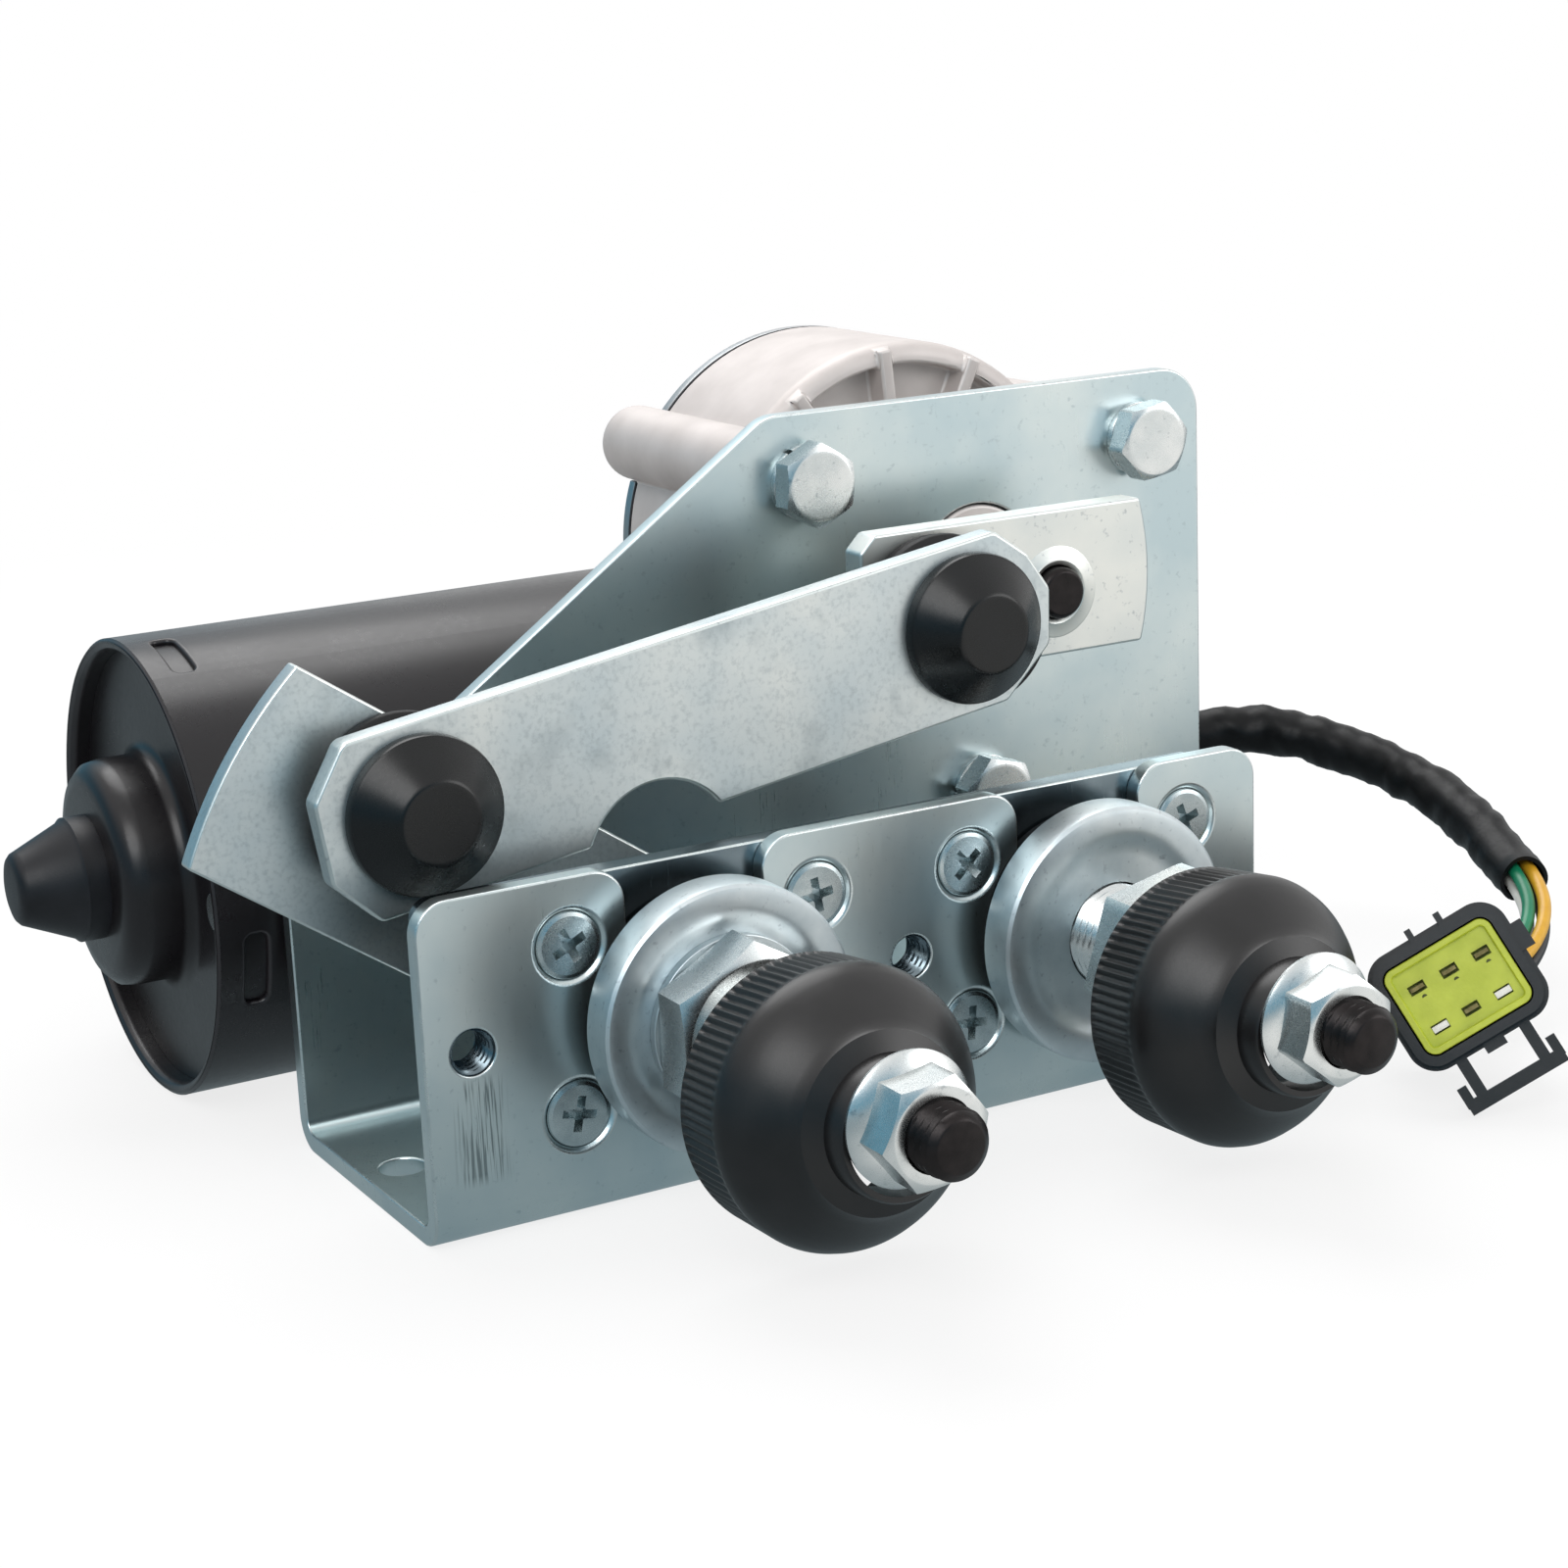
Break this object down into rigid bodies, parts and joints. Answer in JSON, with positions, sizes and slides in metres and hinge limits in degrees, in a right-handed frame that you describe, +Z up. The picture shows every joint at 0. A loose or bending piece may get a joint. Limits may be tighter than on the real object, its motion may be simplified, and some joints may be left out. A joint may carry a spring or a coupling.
{
  "type": "wiper motor",
  "caption": "Wiper motor on a folded bracket: a worm gearbox turns a crank, whose link rocks a threaded wiper spindle beside a free one.",
  "frame": {"origin": "where the drive spindle's axis crosses the front face of the bracket's flange, midway between the two tapped holes", "axes": "+X right along the flange, from the drive spindle to the idler spindle; +Y back, from the flange to the motor; +Z up, away from the web"},
  "size_m": [0.2424, 0.198, 0.1097],
  "materials": {
    "zinc_sheet": "blue-white passivated zinc on folded sheet",
    "zinc_dark": "blue-white zinc on a thicker plate, seen in shade",
    "zinc_bright": "bright zinc",
    "screw_zinc": "bright zinc screw head",
    "link_zinc": "zinc with a matt mottle",
    "rubber": "black rubber",
    "cap_plastic": "black moulded plastic",
    "oxide_steel": "black oxide",
    "spring_steel": "blued spring steel",
    "bronze": "sintered bronze",
    "cast_alu": "bare die casting",
    "cover_alu": "pressed aluminium",
    "gasket": "gasket sheet",
    "can_paint": "satin dark grey paint",
    "nose_plastic": "black moulded plastic",
    "wheel_nylon": "natural nylon",
    "worm_steel": "ground steel",
    "core_steel": "laminated steel",
    "copper": "enamelled copper",
    "magnet": "ferrite",
    "brush_plate": "brown laminate",
    "carbon": "carbon",
    "sleeve": "black soft sleeve",
    "wire_green": "green insulation",
    "wire_yellow": "yellow insulation",
    "wire_white": "white insulation",
    "wire_black": "black insulation",
    "connector_black": "black moulded plastic",
    "connector_lime": "yellow-green moulded plastic",
    "terminal": "plated brass"
  },
  "bodies": {
    "frame_body": {"bracket": "zinc_sheet", "pivot_plate": "zinc_dark", "pivot_screws": "screw_zinc", "thin_washer": "zinc_bright", "drive_tube_nut": "zinc_bright", "idler_tube_nut": "zinc_bright", "pivot_tubes": "zinc_bright", "pivot_bushes": "bronze", "rubber_rings": "rubber", "cup_washers": "zinc_bright", "gearbox_case": "cast_alu", "gearbox_cover": "cover_alu", "gearbox_gasket": "gasket", "cover_screws": "zinc_bright", "gearbox_bolts": "zinc_bright", "bolt_spring_washers": "zinc_bright", "output_bush": "bronze", "output_shaft_seal": "rubber", "motor_can": "can_paint", "motor_end_plate": "can_paint", "motor_end_bush": "bronze", "motor_nose_cap": "nose_plastic", "motor_screws": "zinc_bright", "motor_magnets": "magnet", "brush_holder": "brush_plate", "brushes": "carbon", "ball_bearing": "worm_steel", "thrust_plug": "zinc_bright", "cable_grommet": "rubber", "cable_sleeve": "sleeve", "wire_green": "wire_green", "wire_yellow": "wire_yellow", "wire_white": "wire_white", "wire_black": "wire_black", "connector_housing": "connector_black", "connector_insert": "connector_lime", "connector_terminals": "terminal", "drive_dust_cap": "cap_plastic", "idler_dust_cap": "cap_plastic"},
    "drive_spindle_body": {"drive_spindle": "oxide_steel", "drive_spindle_nut": "zinc_bright", "drive_spindle_ring": "spring_steel", "rocker_arm": "link_zinc", "rocker_ball_stud": "zinc_bright"},
    "idler_spindle_body": {"idler_spindle": "oxide_steel", "idler_spindle_nut": "zinc_bright", "idler_spindle_rings": "spring_steel"},
    "link_body": {"drive_link": "link_zinc", "link_sockets": "cap_plastic", "link_caps": "cap_plastic", "link_seals": "rubber", "crank_ball_stud": "zinc_bright"},
    "output_body": {"output_shaft": "oxide_steel", "worm_wheel": "wheel_nylon", "crank_arm": "link_zinc"},
    "armature_body": {"armature_shaft": "worm_steel", "worm": "worm_steel", "armature_core": "core_steel", "armature_windings": "copper", "commutator": "copper"}
  },
  "joints": [
    {"name": "armature_spin", "type": "hinge", "parent": "frame_body", "child": "armature_body", "pos_m": [0, 0.0915, 0.0085], "axis": [1, 0, 0], "continuous": true},
    {"name": "crank_turn", "type": "hinge", "parent": "frame_body", "child": "output_body", "pos_m": [0.0812, 0, 0.0452], "axis": [0, 1, 0], "continuous": true},
    {"name": "drive_spindle_turn", "type": "hinge", "parent": "frame_body", "child": "drive_spindle_body", "pos_m": [0, 0, 0], "axis": [0, 1, 0], "range_deg": [-0.2, 64]},
    {"name": "link_swing", "type": "hinge", "parent": "drive_spindle_body", "child": "link_body", "pos_m": [-0.0343, 0.017, 0.0308], "axis": [0, 1, 0], "range_deg": [-56.2, 0.3]},
    {"name": "idler_spindle_turn", "type": "hinge", "parent": "frame_body", "child": "idler_spindle_body", "pos_m": [0.066, 0, 0], "axis": [0, 1, 0], "range_deg": [-0.2, 64]}
  ],
  "couplings": [
    {"joint": "crank_turn", "follows": "armature_spin", "ratio": 0.020833},
    {"joint": "link_swing", "follows": "drive_spindle_turn", "ratio": -0.8765}
  ]
}
